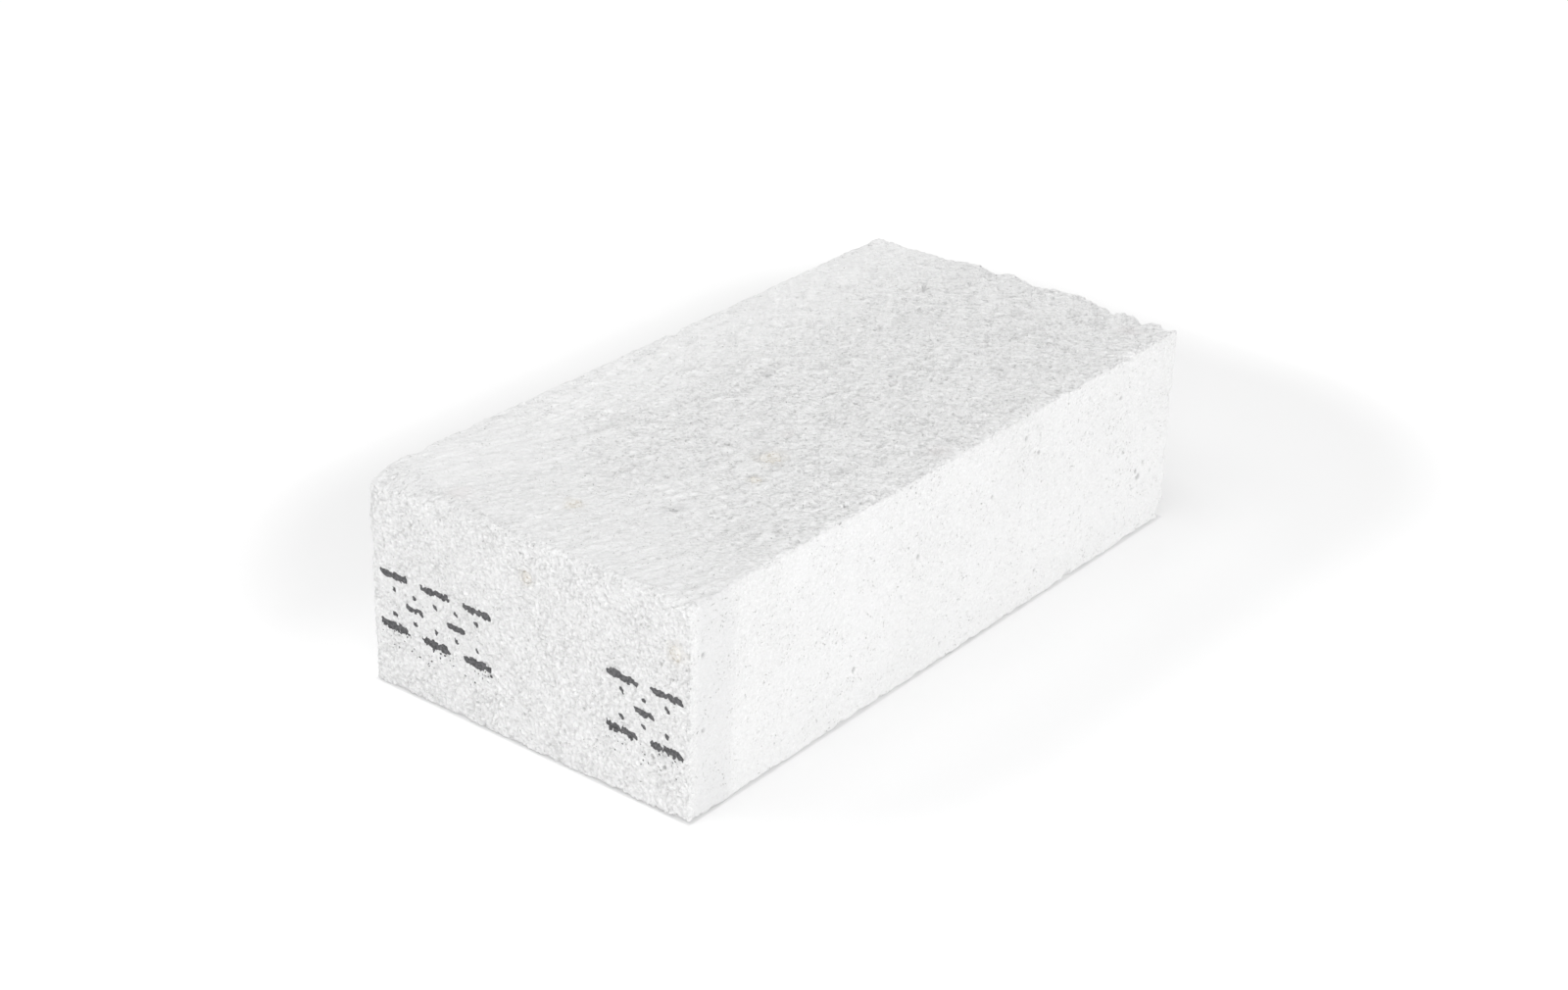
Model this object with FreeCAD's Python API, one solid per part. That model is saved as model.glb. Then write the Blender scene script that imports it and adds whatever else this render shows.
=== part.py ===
"""Insulating fire brick, 230 x 114 x 64 mm, with worn arrises, open pores, drag grooves and ink marks.

The brick lies flat. +X runs along its length from the printed end to the ragged end, +Z is up, and the
origin is the middle of the underside. Lengths are in millimetres.
"""

import FreeCAD, Part

import math
import os
import random

# Driving dimensions of the brick
LENGTH = 230.0
WIDTH = 114.0
HEIGHT = 64.0
LIP = 3.5  # how far the ragged lip stands out past the far end

# Wear of the twelve arrises: the least and the most that is lost from each face along an arris
CRISP = (0.12, 0.3)
SOFT = (0.3, 0.6)
WORN = (0.5, 0.9)
STATION_STEP = 9.0
STATION_JITTER = 2.0
OVERCUT = 2.0  # every cutter passes the faces by this much

# Ragged lip along the top of the far end: (across from the middle, how far it stands out)
LIP_OUTLINE = [(29, -0.4), (23, 2.4), (18, 2.9), (11, 0.7), (6, LIP), (-5, 0.4), (-13, 3.1), (-21, 3.2), (-31, -0.4)]
LIP_DEPTH = 14.0
LIP_ROOT = 5.0  # how deep the lip is rooted in the brick

# Ground top bed: shallow drag grooves on circles about one centre
DRAG_CENTRE_FROM_END = 72.0
DRAG_CENTRE_Y = 190.0
GROOVE_TUBE = 1.4
GROOVE_DEPTH = 0.12
# Each groove: radius of its circle, then where it starts and ends, measured from the printed end
GROOVES = [(157, 58, 128), (172, 96, 150), (189, 92, 176), (204, 22, 84), (221, 118, 212), (236, 40, 154)]

# Ink marks on the printed end: three rows of bars in stretcher-bond order, with dots between the rows
INK_DEPTH = 0.3
BAR_THICK = 2.4
LONG_BAR = 11.0
SHORT_BAR = 7.0
DOT = 1.4
ROW_PITCH = 8.0
MIDDLE_ROW_Z = 27.5
COLUMN_PITCH = 15.5
LEFT_FIRST_Y = 48.5
LEFT_COLUMNS = 3
RIGHT_FIRST_Y = -34.0
RIGHT_COLUMNS = 2
BAR_RAGGED = 0.22

# Grains of another colour set flush in the surface
SPOT_TAPER = 0.55
SPOT_CORNERS = 9
# On the top bed: from the printed end, across from the middle, half length, half width, depth
TOP_SPOTS = [(23.0, 3.0, 2.6, 2.3, 2.0), (79.0, -19.0, 3.6, 3.0, 2.5), (66.0, -24.5, 1.7, 1.4, 1.4)]
# On the printed end: across from the middle, height, half width, half height, depth
END_SPOTS = [(-52.0, 49.0, 1.9, 2.4, 1.8), (-1.0, 52.5, 1.5, 1.8, 1.5)]

# Open pores
PORE_MIN = 0.4
PORE_MAX = 0.9
PORE_SINK = 0.15  # the pore's centre lies this share of its radius inside the face
PORE_EDGE_GAP = 5.0
PORE_GAP = 3.5
PORES_ON_TOP = 34
PORES_ON_BOTTOM = 20
PORES_ON_SIDE = 26
PORES_ON_PRINTED_END = 8
PORES_ON_RAGGED_END = 16
MOUNT_CLEAR = 6.0  # the middle of each face is kept whole

# A cluster of larger pits on the right side: (from the printed end, height, radius)
PIT_CLUSTER = [(214.0, 20.0, 1.2), (212.4, 22.6, 0.9), (216.2, 24.2, 0.8), (210.6, 17.0, 0.7)]

SEED = 23

OVERALL = LENGTH + LIP
X_NEAR = -OVERALL / 2
X_FAR = X_NEAR + LENGTH
Y_SIDE = WIDTH / 2

AXES = (FreeCAD.Vector(1, 0, 0), FreeCAD.Vector(0, 1, 0), FreeCAD.Vector(0, 0, 1))
X, Y, Z = 0, 1, 2

# Each face of the brick: its axis, the way its outward normal points, and where it lies on that axis
NEAR = (X, -1, X_NEAR)
FAR = (X, 1, X_FAR)
RIGHT = (Y, -1, -Y_SIDE)
LEFT = (Y, 1, Y_SIDE)
BOTTOM = (Z, -1, 0.0)
TOP = (Z, 1, HEIGHT)
SPANS = ((X_NEAR, X_FAR), (-Y_SIDE, Y_SIDE), (0.0, HEIGHT))


def from_end(distance):
    """The X of a point this far from the printed end."""
    return X_NEAR + distance


def polygon(points):
    """A flat face with these corners."""
    return Part.Face(Part.makePolygon(points + [points[0]]))


def faceted_solid(sections):
    """A solid skinned with triangles over sections that have equal numbers of corners."""
    faces = [polygon(sections[0]), polygon(sections[-1])]
    for first, second in zip(sections, sections[1:]):
        for i in range(len(first)):
            j = (i + 1) % len(first)
            faces.append(polygon([first[i], first[j], second[j]]))
            faces.append(polygon([first[i], second[j], second[i]]))
    solid = Part.Solid(Part.Shell(faces))
    if solid.Volume < 0:
        solid.reverse()
    return solid


def outward(face):
    """The outward unit normal of a face of the brick."""
    return AXES[face[0]] * face[1]


def face_point(face, values):
    """A point on a face, from its other two coordinates in X, Y, Z order."""
    point = list(values)
    point.insert(face[0], face[2])
    return FreeCAD.Vector(*point)


def arris_axis(face_a, face_b):
    """The axis that the arris between two faces runs along."""
    return X + Y + Z - face_a[0] - face_b[0]


def wear_stations(face_a, face_b, wear, chips, rng):
    """Where the wear of an arris is set: (along, setback from face a, setback from face b)."""
    low, high = SPANS[arris_axis(face_a, face_b)]
    found = []
    along = low - OVERCUT
    while along < high + OVERCUT + STATION_STEP:
        inside = any(abs(along - chip[0]) < chip[1] + STATION_JITTER for chip in chips)
        if not inside:
            found.append((along, rng.uniform(*wear), rng.uniform(*wear)))
        along += STATION_STEP + rng.uniform(-STATION_JITTER, STATION_JITTER)
    for middle, half, back_a, back_b in chips:
        found.append((middle - half, rng.uniform(*wear), rng.uniform(*wear)))
        found.append((middle, back_a, back_b))
        found.append((middle + half, rng.uniform(*wear), rng.uniform(*wear)))
    return sorted(found)


def worn_arris(face_a, face_b, stations):
    """The material lost along the arris between two faces, as one faceted strip."""
    axis = arris_axis(face_a, face_b)
    normal_a = outward(face_a)
    normal_b = outward(face_b)
    foot = AXES[face_a[0]] * face_a[2] + AXES[face_b[0]] * face_b[2]
    sections = []
    for along, back_a, back_b in stations:
        corner = foot + AXES[axis] * along
        on_b = corner - normal_a * back_a
        on_a = corner - normal_b * back_b
        slope = on_b - on_a
        outer = corner + (normal_a + normal_b) * OVERCUT
        past_b = on_b + slope * (OVERCUT / back_b)
        past_a = on_a - slope * (OVERCUT / back_a)
        sections.append([outer, past_b, past_a])
    return faceted_solid(sections)


def rolled_stations():
    """The near top arris: rolled over towards the left corner, only softened towards the right one."""
    rolled = [(60, 8.0, 2.6), (52, 7.4, 2.7), (44, 6.6, 2.1), (36, 4.8, 1.9), (27, 3.6, 1.4), (18, 2.2, 1.2)]
    softened = [(9, 1.4, 1.0), (0, 1.7, 0.8), (-9, 1.1, 1.0), (-18, 1.5, 1.2), (-26, 1.0, 0.8), (-34, 1.4, 1.1)]
    corner = [(-42, 1.2, 0.9), (-48, 1.8, 1.6), (-53, 2.6, 2.1), (-60, 2.2, 2.4)]
    return sorted(rolled + softened + corner)


def arris_list():
    """The other arrises, how worn each is, and its chips: (middle, half length, setback from each face)."""
    right_top = [(from_end(157), 5, 0.6, 0.9), (from_end(196), 3, 0.5, 0.6)]
    right_bottom = [(from_end(65), 2.5, 1.1, 1.4), (from_end(79), 2, 1.0, 1.2), (from_end(100), 2.5, 1.1, 1.3)]
    right_bottom += [(from_end(144), 3, 1.3, 1.6), (from_end(177), 3.5, 1.6, 2.4)]
    far_top = [(-35, 3, 3.0, 2.2), (-46, 4, 4.2, 3.4), (-54, 3, 3.0, 2.4)]
    left_bottom = [(from_end(38), 4, 1.0, 0.9), (from_end(121), 4, 0.9, 1.3), (from_end(205), 5, 1.8, 1.6)]
    far_right = [(2, 4, 3.6, 3.0), (41, 4, 0.9, 0.8), (22, 3, 1.2, 0.8)]
    return [
        (NEAR, BOTTOM, WORN, [(24, 3, 1.2, 1.2), (-8, 3, 1.3, 1.1)]),
        (FAR, TOP, CRISP, far_top),
        (FAR, BOTTOM, WORN, [(-49, 5, 1.8, 1.6), (12, 6, 1.6, 1.4)]),
        (RIGHT, TOP, CRISP, right_top),
        (RIGHT, BOTTOM, WORN, right_bottom),
        (LEFT, TOP, CRISP, []),
        (LEFT, BOTTOM, WORN, left_bottom),
        (NEAR, RIGHT, SOFT, []),
        (NEAR, LEFT, SOFT, []),
        (FAR, RIGHT, CRISP, far_right),
        (FAR, LEFT, CRISP, []),
    ]


def ragged_lip():
    """The torn lip that stands out past the far end just under the top bed."""
    root = X_FAR - LIP_ROOT
    sections = []
    for across, out in LIP_OUTLINE:
        edge = X_FAR + out
        belly = X_FAR + max(out * 0.55, -0.4)
        shape = [(root, HEIGHT - LIP_DEPTH), (root, HEIGHT), (edge - 0.5, HEIGHT), (edge, HEIGHT - 1.0)]
        shape += [(belly, HEIGHT - LIP_DEPTH * 0.5), (X_FAR - 0.4, HEIGHT - LIP_DEPTH)]
        sections.append([FreeCAD.Vector(x, across, z) for x, z in shape])
    return faceted_solid(sections)


def drag_groove(radius, start, end):
    """A shallow groove in the top bed along part of a circle about the drag centre."""
    reach = [math.asin((value - DRAG_CENTRE_FROM_END) / radius) for value in (start, end)]
    centre = FreeCAD.Vector(from_end(DRAG_CENTRE_FROM_END), DRAG_CENTRE_Y, HEIGHT + GROOVE_TUBE - GROOVE_DEPTH)
    sweep = math.degrees(reach[1] - reach[0])
    ring = Part.makeTorus(radius, GROOVE_TUBE, FreeCAD.Vector(0, 0, 0), AXES[Z], 0, 360, sweep)
    ring.rotate(FreeCAD.Vector(0, 0, 0), AXES[Z], math.degrees(reach[0]) - 90)
    ring.translate(centre)
    return ring


def ink_bar(middle_y, middle_z, length, rng):
    """One printed bar with a ragged outline, sunk flush in the printed end."""
    half = length / 2
    thick = BAR_THICK / 2
    steps = max(1, round(length / 1.5))
    outline = []
    for i in range(steps + 1):
        across = -half + length * i / steps
        outline.append((across, thick + rng.uniform(-BAR_RAGGED, BAR_RAGGED)))
    outline.append((half + 0.6, rng.uniform(-BAR_RAGGED, BAR_RAGGED)))
    for i in range(steps + 1):
        across = half - length * i / steps
        outline.append((across, -thick + rng.uniform(-BAR_RAGGED, BAR_RAGGED)))
    outline.append((-half - 0.6, rng.uniform(-BAR_RAGGED, BAR_RAGGED)))
    points = [FreeCAD.Vector(X_NEAR, middle_y + across, middle_z + up) for across, up in outline]
    return polygon(points).extrude(AXES[X] * INK_DEPTH)


def ink_mark(first_y, columns, rng):
    """Long bars above and below, short ones between them half a column over, and rows of dots between."""
    bars = []
    for column in range(columns):
        middle_y = first_y - COLUMN_PITCH * column
        bars.append(ink_bar(middle_y, MIDDLE_ROW_Z + ROW_PITCH, LONG_BAR, rng))
        bars.append(ink_bar(middle_y, MIDDLE_ROW_Z - ROW_PITCH, LONG_BAR, rng))
    for column in range(columns - 1):
        middle_y = first_y - COLUMN_PITCH * (column + 0.5)
        bars.append(ink_bar(middle_y, MIDDLE_ROW_Z, SHORT_BAR, rng))
    for half_column in range(2 * columns - 1):
        dot_y = first_y - COLUMN_PITCH * half_column / 2
        bars.append(ink_bar(dot_y, MIDDLE_ROW_Z + ROW_PITCH / 2, DOT, rng))
        bars.append(ink_bar(dot_y, MIDDLE_ROW_Z - ROW_PITCH / 2, DOT, rng))
    return bars


def spot(face, middle, half_u, half_v, depth, rng):
    """A lump of another colour: an uneven outline on the face that narrows as it goes in."""
    ring = []
    for i in range(SPOT_CORNERS):
        angle = 2 * math.pi * i / SPOT_CORNERS
        reach = rng.uniform(0.82, 1.12)
        ring.append((reach * half_u * math.cos(angle), reach * half_v * math.sin(angle)))
    sections = []
    for share, sink in ((1.0, 0.0), (0.9, 0.5), (SPOT_TAPER, 1.0)):
        values = [(middle[0] + u * share, middle[1] + v * share) for u, v in ring]
        inward = outward(face) * (-depth * sink)
        sections.append([face_point(face, value) + inward for value in values])
    return faceted_solid(sections)


def iron_spots(rng):
    """All the grains of another colour, as separate solids."""
    found = []
    for along, across, half_u, half_v, depth in TOP_SPOTS:
        found.append(spot(TOP, (from_end(along), across), half_u, half_v, depth, rng))
    for across, up, half_u, half_v, depth in END_SPOTS:
        found.append(spot(NEAR, (across, up), half_u, half_v, depth, rng))
    return found


def pore(face, values, radius):
    """An open pore: a ball whose centre is a little inside the face."""
    centre = face_point(face, values) - outward(face) * (radius * PORE_SINK)
    return Part.makeSphere(radius, centre)


def keep_out(face):
    """What the pores of a face stay clear of: (first value, second value, clearance)."""
    spans = [SPANS[axis] for axis in (X, Y, Z) if axis != face[0]]
    zones = [((spans[0][0] + spans[0][1]) / 2, (spans[1][0] + spans[1][1]) / 2, MOUNT_CLEAR)]
    if face is TOP:
        zones += [(from_end(along), across, 2 * half) for along, across, half, _, _ in TOP_SPOTS]
    if face is NEAR:
        zones += [(across, up, 2 * half) for across, up, _, half, _ in END_SPOTS]
    if face is RIGHT:
        zones += [(from_end(along), up, PORE_GAP + radius) for along, up, radius in PIT_CLUSTER]
    return zones


def on_groove(face, values):
    """Whether a point of the top bed is on a drag groove."""
    if face is not TOP:
        return False
    radius = math.hypot(values[0] - from_end(DRAG_CENTRE_FROM_END), values[1] - DRAG_CENTRE_Y)
    return any(abs(radius - groove[0]) < PORE_GAP for groove in GROOVES)


def on_ink(face, values):
    """Whether a point of the printed end is in the height of the ink marks."""
    return face is NEAR and abs(values[1] - MIDDLE_ROW_Z) < ROW_PITCH + BAR_THICK + PORE_MAX


def scattered_pores(face, count, rng):
    """Open pores strewn over a face, apart from each other and from everything else on it."""
    spans = [SPANS[axis] for axis in (X, Y, Z) if axis != face[0]]
    taken = keep_out(face)
    pores = []
    while len(pores) < count:
        values = [rng.uniform(low + PORE_EDGE_GAP, high - PORE_EDGE_GAP) for low, high in spans]
        radius = rng.uniform(PORE_MIN, PORE_MAX)
        near = any(math.hypot(values[0] - u, values[1] - v) < gap + radius for u, v, gap in taken)
        if near or on_groove(face, values) or on_ink(face, values):
            continue
        taken.append((values[0], values[1], PORE_GAP))
        pores.append(pore(face, values, radius))
    return pores


def brick_body(insets, rng):
    """The brick itself, with pockets for everything that is set in it."""
    body = Part.makeBox(LENGTH, WIDTH, HEIGHT, FreeCAD.Vector(X_NEAR, -Y_SIDE, 0))
    body = body.cut(worn_arris(NEAR, TOP, rolled_stations()))
    for face_a, face_b, wear, chips in arris_list():
        body = body.cut(worn_arris(face_a, face_b, wear_stations(face_a, face_b, wear, chips, rng)))
    body = body.fuse(ragged_lip()).removeSplitter()
    cuts = [drag_groove(*groove) for groove in GROOVES]
    cuts += [pore(RIGHT, (from_end(along), up), radius) for along, up, radius in PIT_CLUSTER]
    counts = [(TOP, PORES_ON_TOP), (BOTTOM, PORES_ON_BOTTOM), (RIGHT, PORES_ON_SIDE)]
    counts += [(LEFT, PORES_ON_SIDE), (NEAR, PORES_ON_PRINTED_END), (FAR, PORES_ON_RAGGED_END)]
    for face, count in counts:
        cuts += scattered_pores(face, count, rng)
    body = body.cut(cuts)
    body = body.cut(insets)
    return body.Solids[0]


def save(name, solids):
    """Writes one named piece, or one group of like pieces, as a STEP file."""
    shape = solids[0] if len(solids) == 1 else Part.makeCompound(solids)
    shape.exportStep(os.path.join("parts", name + ".step"))
    box = shape.BoundBox
    print(name, "valid", shape.isValid(), "solids", len(shape.Solids), "mm3", round(shape.Volume, 1))
    print("   X", round(box.XMin, 2), round(box.XMax, 2), "Y", round(box.YMin, 2), round(box.YMax, 2), end=" ")
    print("Z", round(box.ZMin, 2), round(box.ZMax, 2))


def main():
    rng = random.Random(SEED)
    os.makedirs("parts", exist_ok=True)
    left = ink_mark(LEFT_FIRST_Y, LEFT_COLUMNS, rng)
    right = ink_mark(RIGHT_FIRST_Y, RIGHT_COLUMNS, rng)
    spots = iron_spots(rng)
    body = brick_body(left + right + spots, rng)
    save("brick_body", [body])
    save("ink_mark_left", left)
    save("ink_mark_right", right)
    save("iron_spots", spots)


main()
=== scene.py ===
import itertools
import math
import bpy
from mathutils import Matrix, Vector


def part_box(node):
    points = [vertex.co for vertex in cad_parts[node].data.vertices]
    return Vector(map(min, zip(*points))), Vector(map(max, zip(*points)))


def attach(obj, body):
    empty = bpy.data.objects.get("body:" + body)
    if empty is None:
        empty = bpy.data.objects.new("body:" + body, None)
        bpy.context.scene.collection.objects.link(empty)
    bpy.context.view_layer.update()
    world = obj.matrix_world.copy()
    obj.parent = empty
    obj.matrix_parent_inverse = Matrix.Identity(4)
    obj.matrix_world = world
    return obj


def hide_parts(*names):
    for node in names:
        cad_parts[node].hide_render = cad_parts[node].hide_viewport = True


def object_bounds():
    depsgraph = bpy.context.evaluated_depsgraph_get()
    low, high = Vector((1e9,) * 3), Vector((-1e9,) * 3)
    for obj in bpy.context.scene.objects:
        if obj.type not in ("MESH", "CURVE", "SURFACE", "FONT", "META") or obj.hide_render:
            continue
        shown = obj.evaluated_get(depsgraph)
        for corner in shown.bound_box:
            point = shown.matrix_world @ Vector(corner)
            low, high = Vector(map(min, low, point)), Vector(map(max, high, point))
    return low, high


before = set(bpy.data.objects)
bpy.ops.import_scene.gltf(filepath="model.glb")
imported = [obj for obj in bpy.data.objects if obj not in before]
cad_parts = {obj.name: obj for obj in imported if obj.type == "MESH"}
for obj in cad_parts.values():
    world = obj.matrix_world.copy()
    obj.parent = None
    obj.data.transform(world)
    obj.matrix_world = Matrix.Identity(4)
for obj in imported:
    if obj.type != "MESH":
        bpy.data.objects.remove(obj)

from types import SimpleNamespace

import bmesh
import bpy
import numpy as np
from mathutils import Euler, Vector

cad_low, cad_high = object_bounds()

# ---------------------------------------------------------------- settings, in millimetres unless they say
MM = 0.001
X_NEAR = cad_low.x / MM
HALF_WIDTH = cad_high.y / MM
HEIGHT = cad_high.z / MM
LIP = 3.5
X_FAR = cad_high.x / MM - LIP
LENGTH = X_FAR - X_NEAR

VOXEL = 0.42  # spacing of the brick's mesh
SPOT_VOXEL = 0.28
REFINED = 2.2  # how much of the printed end gets quads of half that size

# The wide rolled arris over the printed end: how far from that end and from the top bed it is smoothed
ROLL_LENGTH = (8.0, 11.0)
ROLL_DROP = (3.5, 5.0)
ROLL_SMOOTHING = 0.9
ROLL_ROUNDS = 8

FACE_BLEND = 0.8  # how softly the relief of one face turns into the next one's

# The drag marks of the ground top bed lie on circles about one centre
DRAG_CENTRE = (X_NEAR + 72.0, 190.0)
POLAR_SCALE = 200.0  # turns an angle about the drag centre into a length

# Torn flakes and dashes of the top bed lie this many degrees from the X axis
FLAKE_TURN = -45.0

# Ink marks: rows of bars in stretcher-bond order, as on the CAD nodes
MIDDLE_ROW_Z = 27.5
ROW_PITCH = 8.0
COLUMN_PITCH = 15.5
LONG_BAR = 11.0
SHORT_BAR = 7.0
DOT = 1.4
DROP_PITCH = 1.3
SPECKS_PER_COLUMN = 16
SPECKS_BELOW = 6.5  # how far below the lowest bars the stray specks reach
FILM_THICKNESS = 0.14  # of the ink
POCKET_DEPTH = 0.45  # a little more than the pockets that the ink nodes fill
INK_GROUPS = {"ink_mark_left": (48.5, 3), "ink_mark_right": (-34.0, 2)}  # first column, columns

# The soft boxes stand round this point, all at one distance, in metres
LIGHT_AIM = (0.0, 0.0, 0.03)
LIGHT_DISTANCE = 1.5
LIGHT_SIZE = 0.9
SKY_STRENGTH = 0.5

# The floor, in metres: the rectangle where its glow is dimmed as painted shadow, and how far outside it the
# glow grows back.
# Then how strong the glow is near the object and far out
FLOOR_SIZE = 100.0
SHADOW_MIDDLE = (0.06, 0.02, 0.0)
SHADOW_HALF_SIDES = (0.09, 0.05, 0.0)
SHADOW_FADE = (0.07, 0.125)
GLOW_FADE = (0.9, 1.5)
GLOW_STRENGTH = (0.39, 0.85)
# The paper right at the object's foot is dimmed to grey: a painted contact shadow.
CONTACT_SHADE = 0.8  # how far, in millimetres, the paper round the object's foot is dimmed

# The camera: place in metres, turn in degrees, lens in millimetres
CAMERA_PLACE = (-0.5844, -0.4481, 0.4042)
CAMERA_TURN = (63.159, -1.342, -51.514)
CAMERA_LENS = 64.75
SENSOR_WIDTH = 36.0

# Soft boxes: name, azimuth and elevation in degrees, watts
SOFT_LIGHTS = [("key_near", 225, 14, 8.1), ("key_right", 315, 14, 5.3), ("back_left", 45, 38, 2.0)]
SOFT_LIGHTS += [("right", 270, 38, 0.4), ("high_left", 120, 65, 4.4), ("high_near", 180, 65, 5.4)]

# Short tears in the top bed: from the printed end, across, length, turn from the X axis in radians
TEARS = [(221.0, 3.5, 6.0, 0.9), (217.5, 11.5, 4.5, 0.7), (225.0, -6.0, 5.0, 1.2), (206.0, 21.0, 4.0, 0.8)]
TEARS += [(186.0, 30.0, 3.5, 1.0), (150.0, -51.0, 5.0, 0.1), (171.0, 12.0, 3.0, 0.5)]

# Tan grains on the top bed: from the printed end, across, reach. On the printed end: across, up, reach
TOP_SPOTS = [(23.0, 3.0, 2.6), (79.0, -19.0, 3.4), (66.0, -24.5, 1.7)]
END_SPOTS = [(-52.0, 49.0, 2.4), (-1.0, 52.5, 1.8)]

# Pinkish patches on the top bed: from the printed end, across, reach
BLUSHES = [(8.0, 30.0, 6.0), (113.0, -51.0, 5.0), (219.0, -46.0, 5.5), (94.0, -13.0, 3.0)]

# Colours of the refractory, as linear RGB
BODY_TONES = ((0.815, 0.815, 0.815), (0.845, 0.845, 0.847))
GREY_FLECK = (0.62, 0.615, 0.605)
# White of chalk flecks and smears, also used for painted highlights and painted light
CHALK_AND_LIGHT_WHITE = (0.97, 0.97, 0.97)
# Pale and dark dashes: painted highlight and painted shade on the dash relief
DASH_HIGHLIGHT = (0.98, 0.98, 0.98)
DASH_SHADE = (0.47, 0.47, 0.465)
DARK_SPECK = (0.36, 0.355, 0.345)

# What each field of the brick's surface is tinted with: name, strength, colour
# The chalk white is partly painted highlight and painted light, and the grey in hollows is painted shade with
# some dirt.
FIELD_TINTS = [("chalk_and_painted_light", 0.75, CHALK_AND_LIGHT_WHITE), ("hollow_shade_and_dirt", 0.65, (0.44, 0.44, 0.44))]
FIELD_TINTS += [("stain", 0.4, (0.74, 0.715, 0.67)), ("blush", 0.22, (0.76, 0.70, 0.70))]
# The grey band down the right side, just behind the printed end.
FIELD_TINTS += [("grey_band", 0.5, (0.74, 0.74, 0.745))]

SURFACE_FIELDS = ("hollow_shade_and_dirt", "chalk_and_painted_light", "open_grain", "stain", "blush", "grey_band")

X, Y, Z = 0, 1, 2
TOP, BOTTOM, RIGHT, LEFT, NEAR, FAR = range(6)


# ---------------------------------------------------------------- repeatable noise on arrays of points
def lattice(cells, seed):
    """A repeatable number from 0 to 1 for each whole-number cell."""
    mixed = cells[:, 0].astype(np.uint32) * np.uint32(0x8DA6B343)
    mixed ^= cells[:, 1].astype(np.uint32) * np.uint32(0xD8163841)
    mixed ^= cells[:, 2].astype(np.uint32) * np.uint32(0xCB1AB31F)
    mixed ^= np.uint32((seed * 0x9E3779B1) & 0xFFFFFFFF)
    for shift, factor in ((15, 0x2C1B3C6D), (12, 0x297A2D39)):
        mixed ^= mixed >> np.uint32(shift)
        mixed *= np.uint32(factor)
    mixed ^= mixed >> np.uint32(15)
    return mixed.astype(np.float64) / 2**32


def smooth_noise(points, size, seed):
    """Smooth noise from -1 to 1. size is one number or one for each axis."""
    scaled = points / size
    cell = np.floor(scaled).astype(np.int64)
    part = scaled - cell
    part = part * part * (3 - 2 * part)
    total = np.zeros(len(points))
    for corner in itertools.product((0, 1), repeat=3):
        weight = np.ones(len(points))
        for axis in (X, Y, Z):
            weight *= part[:, axis] if corner[axis] else 1 - part[:, axis]
        total += weight * lattice(cell + np.array(corner), seed)
    return 2 * total - 1


def rough_noise(points, size, octaves, seed):
    """Smooth noise summed over finer and finer sizes, about -1 to 1."""
    total = np.zeros(len(points))
    strength, summed = 1.0, 0.0
    for octave in range(octaves):
        total += strength * smooth_noise(points + 13.7 * octave, np.asarray(size) / 2**octave, seed + octave)
        summed += strength
        strength *= 0.55
    return total / summed


def cell_noise(points, size, seed, jitter=0.7):
    """The distance to the nearest scattered centre, in cells, and that cell's own number from 0 to 1."""
    scaled = points / size
    base = np.floor(scaled - 0.5).astype(np.int64)
    best = np.full(len(points), 9.0)
    own = np.zeros(len(points))
    for corner in itertools.product((0, 1), repeat=3):
        cell = base + np.array(corner)
        gap = np.zeros(len(points))
        for axis in (X, Y, Z):
            centre = cell[:, axis] + 0.5 + jitter * (lattice(cell, seed + 7 * axis + 1) - 0.5)
            gap += (scaled[:, axis] - centre) ** 2
        closer = gap < best
        best[closer] = gap[closer]
        own[closer] = lattice(cell[closer], seed + 31)
    return np.sqrt(best), own


def ramp(values, low, high):
    """0 below low, 1 above high, smooth between them."""
    share = np.clip((values - low) / (high - low), 0, 1)
    return share * share * (3 - 2 * share)


def grains(points, size, seed):
    """Rounded bumps packed side by side, from 0 in the gaps to 1 on the crowns."""
    gap, own = cell_noise(points, size, seed, 0.9)
    return (1 - ramp(gap, 0.1, 0.75)) * (0.55 + 0.45 * own)


def pits(points, size, seed, share, radius):
    """1 in the middle of scattered round pits, 0 outside them. radius is in cells."""
    gap, own = cell_noise(points, size, seed)
    reach = radius * (0.45 + 0.55 * own / share)
    return np.where(own < share, 1 - ramp(gap, 0.25 * reach, reach), 0.0)


# ---------------------------------------------------------------- meshes
def coordinates(mesh):
    flat = np.empty(len(mesh.vertices) * 3, np.float32)
    mesh.vertices.foreach_get("co", flat)
    return flat.reshape(-1, 3).astype(np.float64)


def set_coordinates(mesh, points):
    mesh.vertices.foreach_set("co", points.astype(np.float32).ravel())
    mesh.update()


def normals_of(mesh):
    flat = np.empty(len(mesh.vertices) * 3, np.float32)
    mesh.vertex_normals.foreach_get("vector", flat)
    return flat.reshape(-1, 3).astype(np.float64)


def voxel_copy(node, voxel, name):
    """A CAD node's closed shape as a new, even mesh of small quads."""
    welded = bmesh.new()
    welded.from_mesh(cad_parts[node].data)
    bmesh.ops.remove_doubles(welded, verts=welded.verts, dist=1e-6)
    source = bpy.data.meshes.new(name + "_source")
    welded.to_mesh(source)
    welded.free()
    holder = bpy.data.objects.new(name + "_source", source)
    bpy.context.scene.collection.objects.link(holder)
    remesh = holder.modifiers.new("even_quads", "REMESH")
    remesh.mode = "VOXEL"
    remesh.voxel_size = voxel * MM
    remesh.use_smooth_shade = True
    graph = bpy.context.evaluated_depsgraph_get()
    even = bpy.data.meshes.new_from_object(holder.evaluated_get(graph), depsgraph=graph)
    bpy.data.objects.remove(holder)
    bpy.data.meshes.remove(source)
    even.name = name
    return even


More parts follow.
